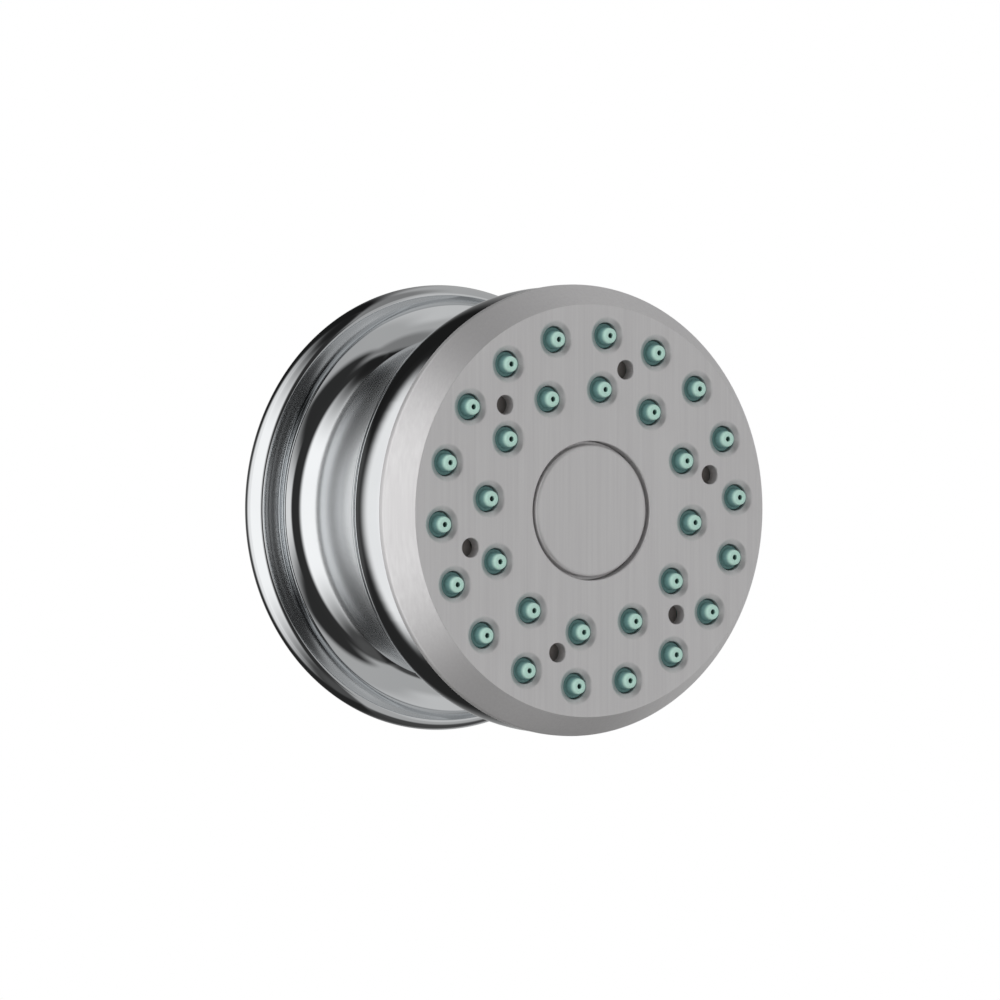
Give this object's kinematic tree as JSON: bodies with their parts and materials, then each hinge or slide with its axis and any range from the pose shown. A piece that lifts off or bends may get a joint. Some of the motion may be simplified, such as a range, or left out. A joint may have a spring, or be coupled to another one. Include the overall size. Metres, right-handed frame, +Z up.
{
  "type": "shower body jet",
  "caption": "Round wall-mounted shower body jet: satin grey spray face with soft nozzles on a chrome shell that swivels in a chrome neck with a belled wall flange.",
  "frame": {"origin": "centre of the wall face, on the jet's axis", "axes": "+Y into the wall along the jet's axis, so the spray leaves along -Y; +Z up; +X to the right of a person who faces the jet"},
  "size_m": [0.0818, 0.0576, 0.0818],
  "materials": {
    "flange_chrome": "polished plating",
    "shell_chrome": "polished plating",
    "face_grey": "satin grey coat",
    "cap_grey": "satin grey coat",
    "nozzle_silicone": "matt silicone",
    "plate_black": "moulded",
    "fitting_brass": "machined",
    "steel": "plain",
    "seal_rubber": "matt",
    "gasket_foam": "matt",
    "acetal": "machined",
    "regulator_plastic": "moulded"
  },
  "bodies": {
    "base": {"wall_gasket": "gasket_foam", "wall_flange": "flange_chrome", "clamp_washer": "steel", "inlet_fitting": "fitting_brass", "inlet_seal": "seal_rubber", "filter_screen": "steel", "flow_regulator": "regulator_plastic", "regulator_o_ring": "seal_rubber"},
    "seat_ring": {"ball_seat_ring": "acetal"},
    "seal_ring": {"ball_seal": "seal_rubber"},
    "head": {"socket_nut": "acetal", "rear_shell": "shell_chrome", "distributor_plate": "plate_black", "distributor_screws": "steel", "chamber_o_ring": "seal_rubber", "nozzle_membrane": "nozzle_silicone", "face_plate": "face_grey", "face_o_ring": "seal_rubber", "centre_screw": "steel", "screw_o_ring": "seal_rubber", "centre_cap": "cap_grey"}
  },
  "joints": [
    {"name": "head_pan", "type": "hinge", "parent": "base", "child": "seat_ring", "pos_m": [0, -0.038, 0], "axis": [0, 0, 1], "range_deg": [-10, 10]},
    {"name": "head_tilt", "type": "hinge", "parent": "seat_ring", "child": "seal_ring", "pos_m": [0, -0.038, 0], "axis": [1, 0, 0], "range_deg": [-10, 10]},
    {"name": "head_spin", "type": "hinge", "parent": "seal_ring", "child": "head", "pos_m": [0, -0.038, 0], "axis": [0, -1, 0], "continuous": true}
  ]
}
